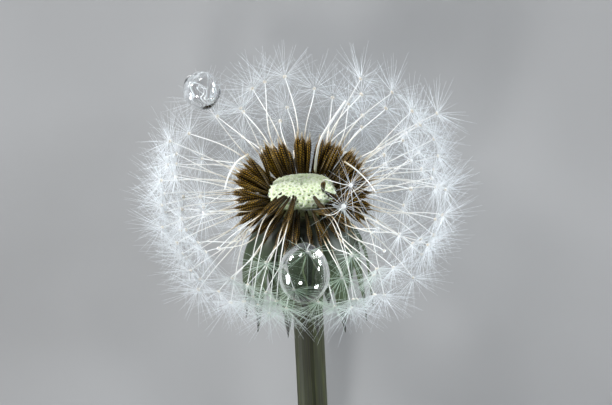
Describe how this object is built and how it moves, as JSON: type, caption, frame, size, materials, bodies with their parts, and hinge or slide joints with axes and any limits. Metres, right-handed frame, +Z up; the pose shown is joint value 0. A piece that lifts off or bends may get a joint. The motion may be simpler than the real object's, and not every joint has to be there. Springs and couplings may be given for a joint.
{
  "type": "dandelion seed head",
  "caption": "Dandelion seed head lying down: hollow stem, bent-back bracts, pitted receptacle, brown fruits with white hair parachutes, bare on one side, with water drops.",
  "frame": {"origin": "on the surface that the seed head lies on, under the middle of its box", "axes": "+Y from the cut end of the stem towards the head, +Z up, +X to the right when the head is seen from above with the stem towards the viewer"},
  "size_m": [0.0438, 0.0682, 0.0364],
  "materials": {
    "stem": "smooth dark olive plant stalk, finely ribbed",
    "receptacle": "pale cream green, spongy, pitted",
    "bracts": "matt dark olive green leaf with fine veins",
    "achenes": "golden brown, ribbed, satin",
    "pappus": "silver-white fine hair with a silky sheen",
    "water": "clear water"
  },
  "bodies": {
    "root": {"stem": "stem", "receptacle": "receptacle", "bracts_inner": "bracts", "bracts_outer": "bracts", "achenes": "achenes", "pappus": "pappus", "water_drop_upper": "water", "water_drop_lower": "water"}
  },
  "joints": []
}
